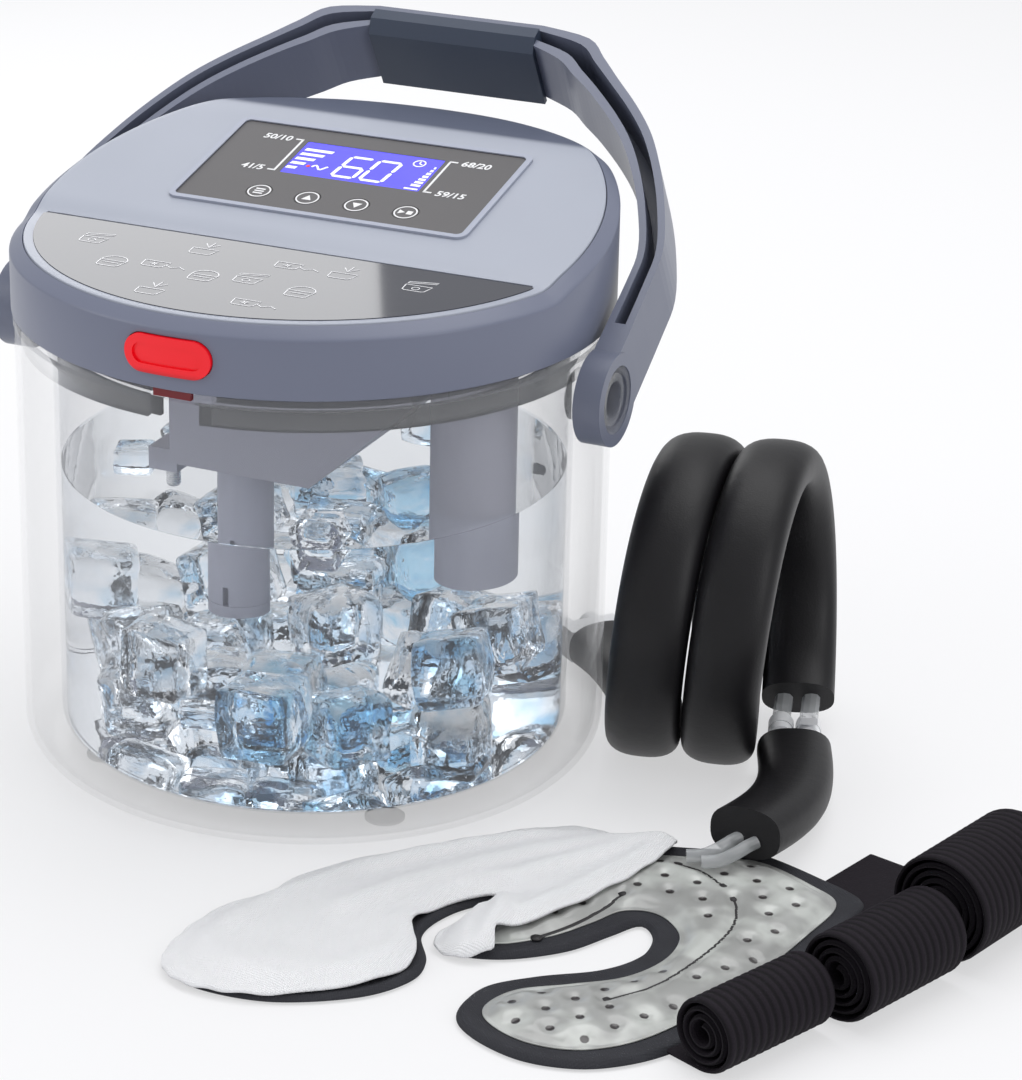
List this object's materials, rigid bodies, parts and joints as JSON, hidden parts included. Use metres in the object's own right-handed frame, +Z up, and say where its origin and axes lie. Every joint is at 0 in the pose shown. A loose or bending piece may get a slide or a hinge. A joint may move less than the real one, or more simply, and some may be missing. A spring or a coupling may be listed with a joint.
{
  "type": "hot cold therapy machine",
  "caption": "Ice-water therapy machine: clear double-walled tank, grey pump lid with display and red release, swing handle, coiled hose, wrap pad, cover and rolled straps.",
  "frame": {"origin": "centre of the tank bottom face, on the ground plane", "axes": "+Z up, -Y out of the face with the red release button, +X to the side where the hose and pad lie"},
  "size_m": [0.4648, 0.3742, 0.2733],
  "materials": {
    "clear_shell": "clear moulded plastic, polished",
    "clear_part": "clear moulded plastic",
    "lid_grey": "satin moulded plastic",
    "lid_light": "satin moulded plastic",
    "under_grey": "fine matte",
    "dark_part": "fine matte",
    "label": "glossy printed film",
    "overlay": "satin printed film",
    "lcd": "lit display",
    "board": "solder mask",
    "white_part": "gloss",
    "red_button": "gloss",
    "steel": "bright",
    "handle_grey": "satin moulded plastic",
    "grip": "satin soft-touch",
    "foam": "satin foam skin",
    "tube": "clear flexible tube",
    "silicone": "matte",
    "backing": "bound edge, coated fabric",
    "bladder": "translucent soft film",
    "cover": "soft knitted fabric",
    "strap": "ribbed elastic webbing"
  },
  "bodies": {
    "tank": {"tank_outer_shell": "clear_shell", "tank_inner_liner": "clear_shell", "tank_rim_collar": "clear_part", "foot_pads": "silicone", "pivot_cap_left": "clear_part", "pivot_cap_right": "clear_part", "hose_coil": "foam", "hose_plug": "white_part", "hose_tails": "tube", "coupling_sockets": "white_part", "coupling_plugs": "white_part", "short_sleeve": "foam", "pad_inlet_tubes": "tube", "pad_backing": "backing", "pad_bladder": "bladder", "pad_cover": "cover", "strap_roll_small": "strap", "strap_roll_middle": "strap", "strap_roll_large": "strap"},
    "lid": {"lid_skirt": "lid_grey", "lid_top_cover": "lid_light", "lid_underplate": "under_grey", "lid_seal": "silicone", "label_plate": "label", "panel_rim_frame": "lid_light", "panel_overlay": "overlay", "lcd_module": "white_part", "lcd_window": "lcd", "control_board": "board", "button_spring": "steel", "pump_housing": "under_grey", "pump_motor": "steel", "pump_volute": "dark_part", "heater_block": "steel", "intake_stem": "under_grey", "intake_strainer": "dark_part", "return_column": "under_grey", "temperature_probe": "steel", "suction_hose": "tube", "delivery_hose": "tube", "supply_port": "white_part", "return_port": "white_part", "power_socket": "dark_part", "main_board": "board", "buzzer": "dark_part", "lid_screws": "steel"},
    "handle": {"handle_frame": "handle_grey", "grip_sleeve": "grip"},
    "button": {"release_button": "red_button"},
    "key_mode": {"key_mode": "overlay"},
    "key_up": {"key_up": "overlay"},
    "key_down": {"key_down": "overlay"},
    "key_run": {"key_run": "overlay"},
    "pump_rotor": {"impeller": "white_part"},
    "coupling_latch": {"thumb_latch": "white_part"}
  },
  "joints": [
    {"name": "lid_lift", "type": "slide", "parent": "tank", "child": "lid", "axis": [0, 0, 1], "range_m": [0, 0.15]},
    {"name": "handle_swing", "type": "hinge", "parent": "tank", "child": "handle", "pos_m": [0, -0.008, 0.17], "axis": [1, 0, 0], "range_deg": [0, 145]},
    {"name": "button_press", "type": "slide", "parent": "lid", "child": "button", "axis": [0, 1, 0], "range_m": [0, 0.003], "stiffness_N_per_m": 400},
    {"name": "impeller_spin", "type": "hinge", "parent": "lid", "child": "pump_rotor", "pos_m": [-0.014, 0.008, 0.13], "axis": [0, 0, 1], "continuous": true},
    {"name": "coupling_press", "type": "slide", "parent": "tank", "child": "coupling_latch", "axis": [0, 0, -1], "range_m": [0, 0.001], "stiffness_N_per_m": 400},
    {"name": "press_mode", "type": "slide", "parent": "lid", "child": "key_mode", "axis": [0, 0.2164, -0.9763], "range_m": [0, 0.0003], "stiffness_N_per_m": 400},
    {"name": "press_up", "type": "slide", "parent": "lid", "child": "key_up", "axis": [0, 0.2164, -0.9763], "range_m": [0, 0.0003], "stiffness_N_per_m": 400},
    {"name": "press_down", "type": "slide", "parent": "lid", "child": "key_down", "axis": [0, 0.2164, -0.9763], "range_m": [0, 0.0003], "stiffness_N_per_m": 400},
    {"name": "press_run", "type": "slide", "parent": "lid", "child": "key_run", "axis": [0, 0.2164, -0.9763], "range_m": [0, 0.0003], "stiffness_N_per_m": 400}
  ]
}
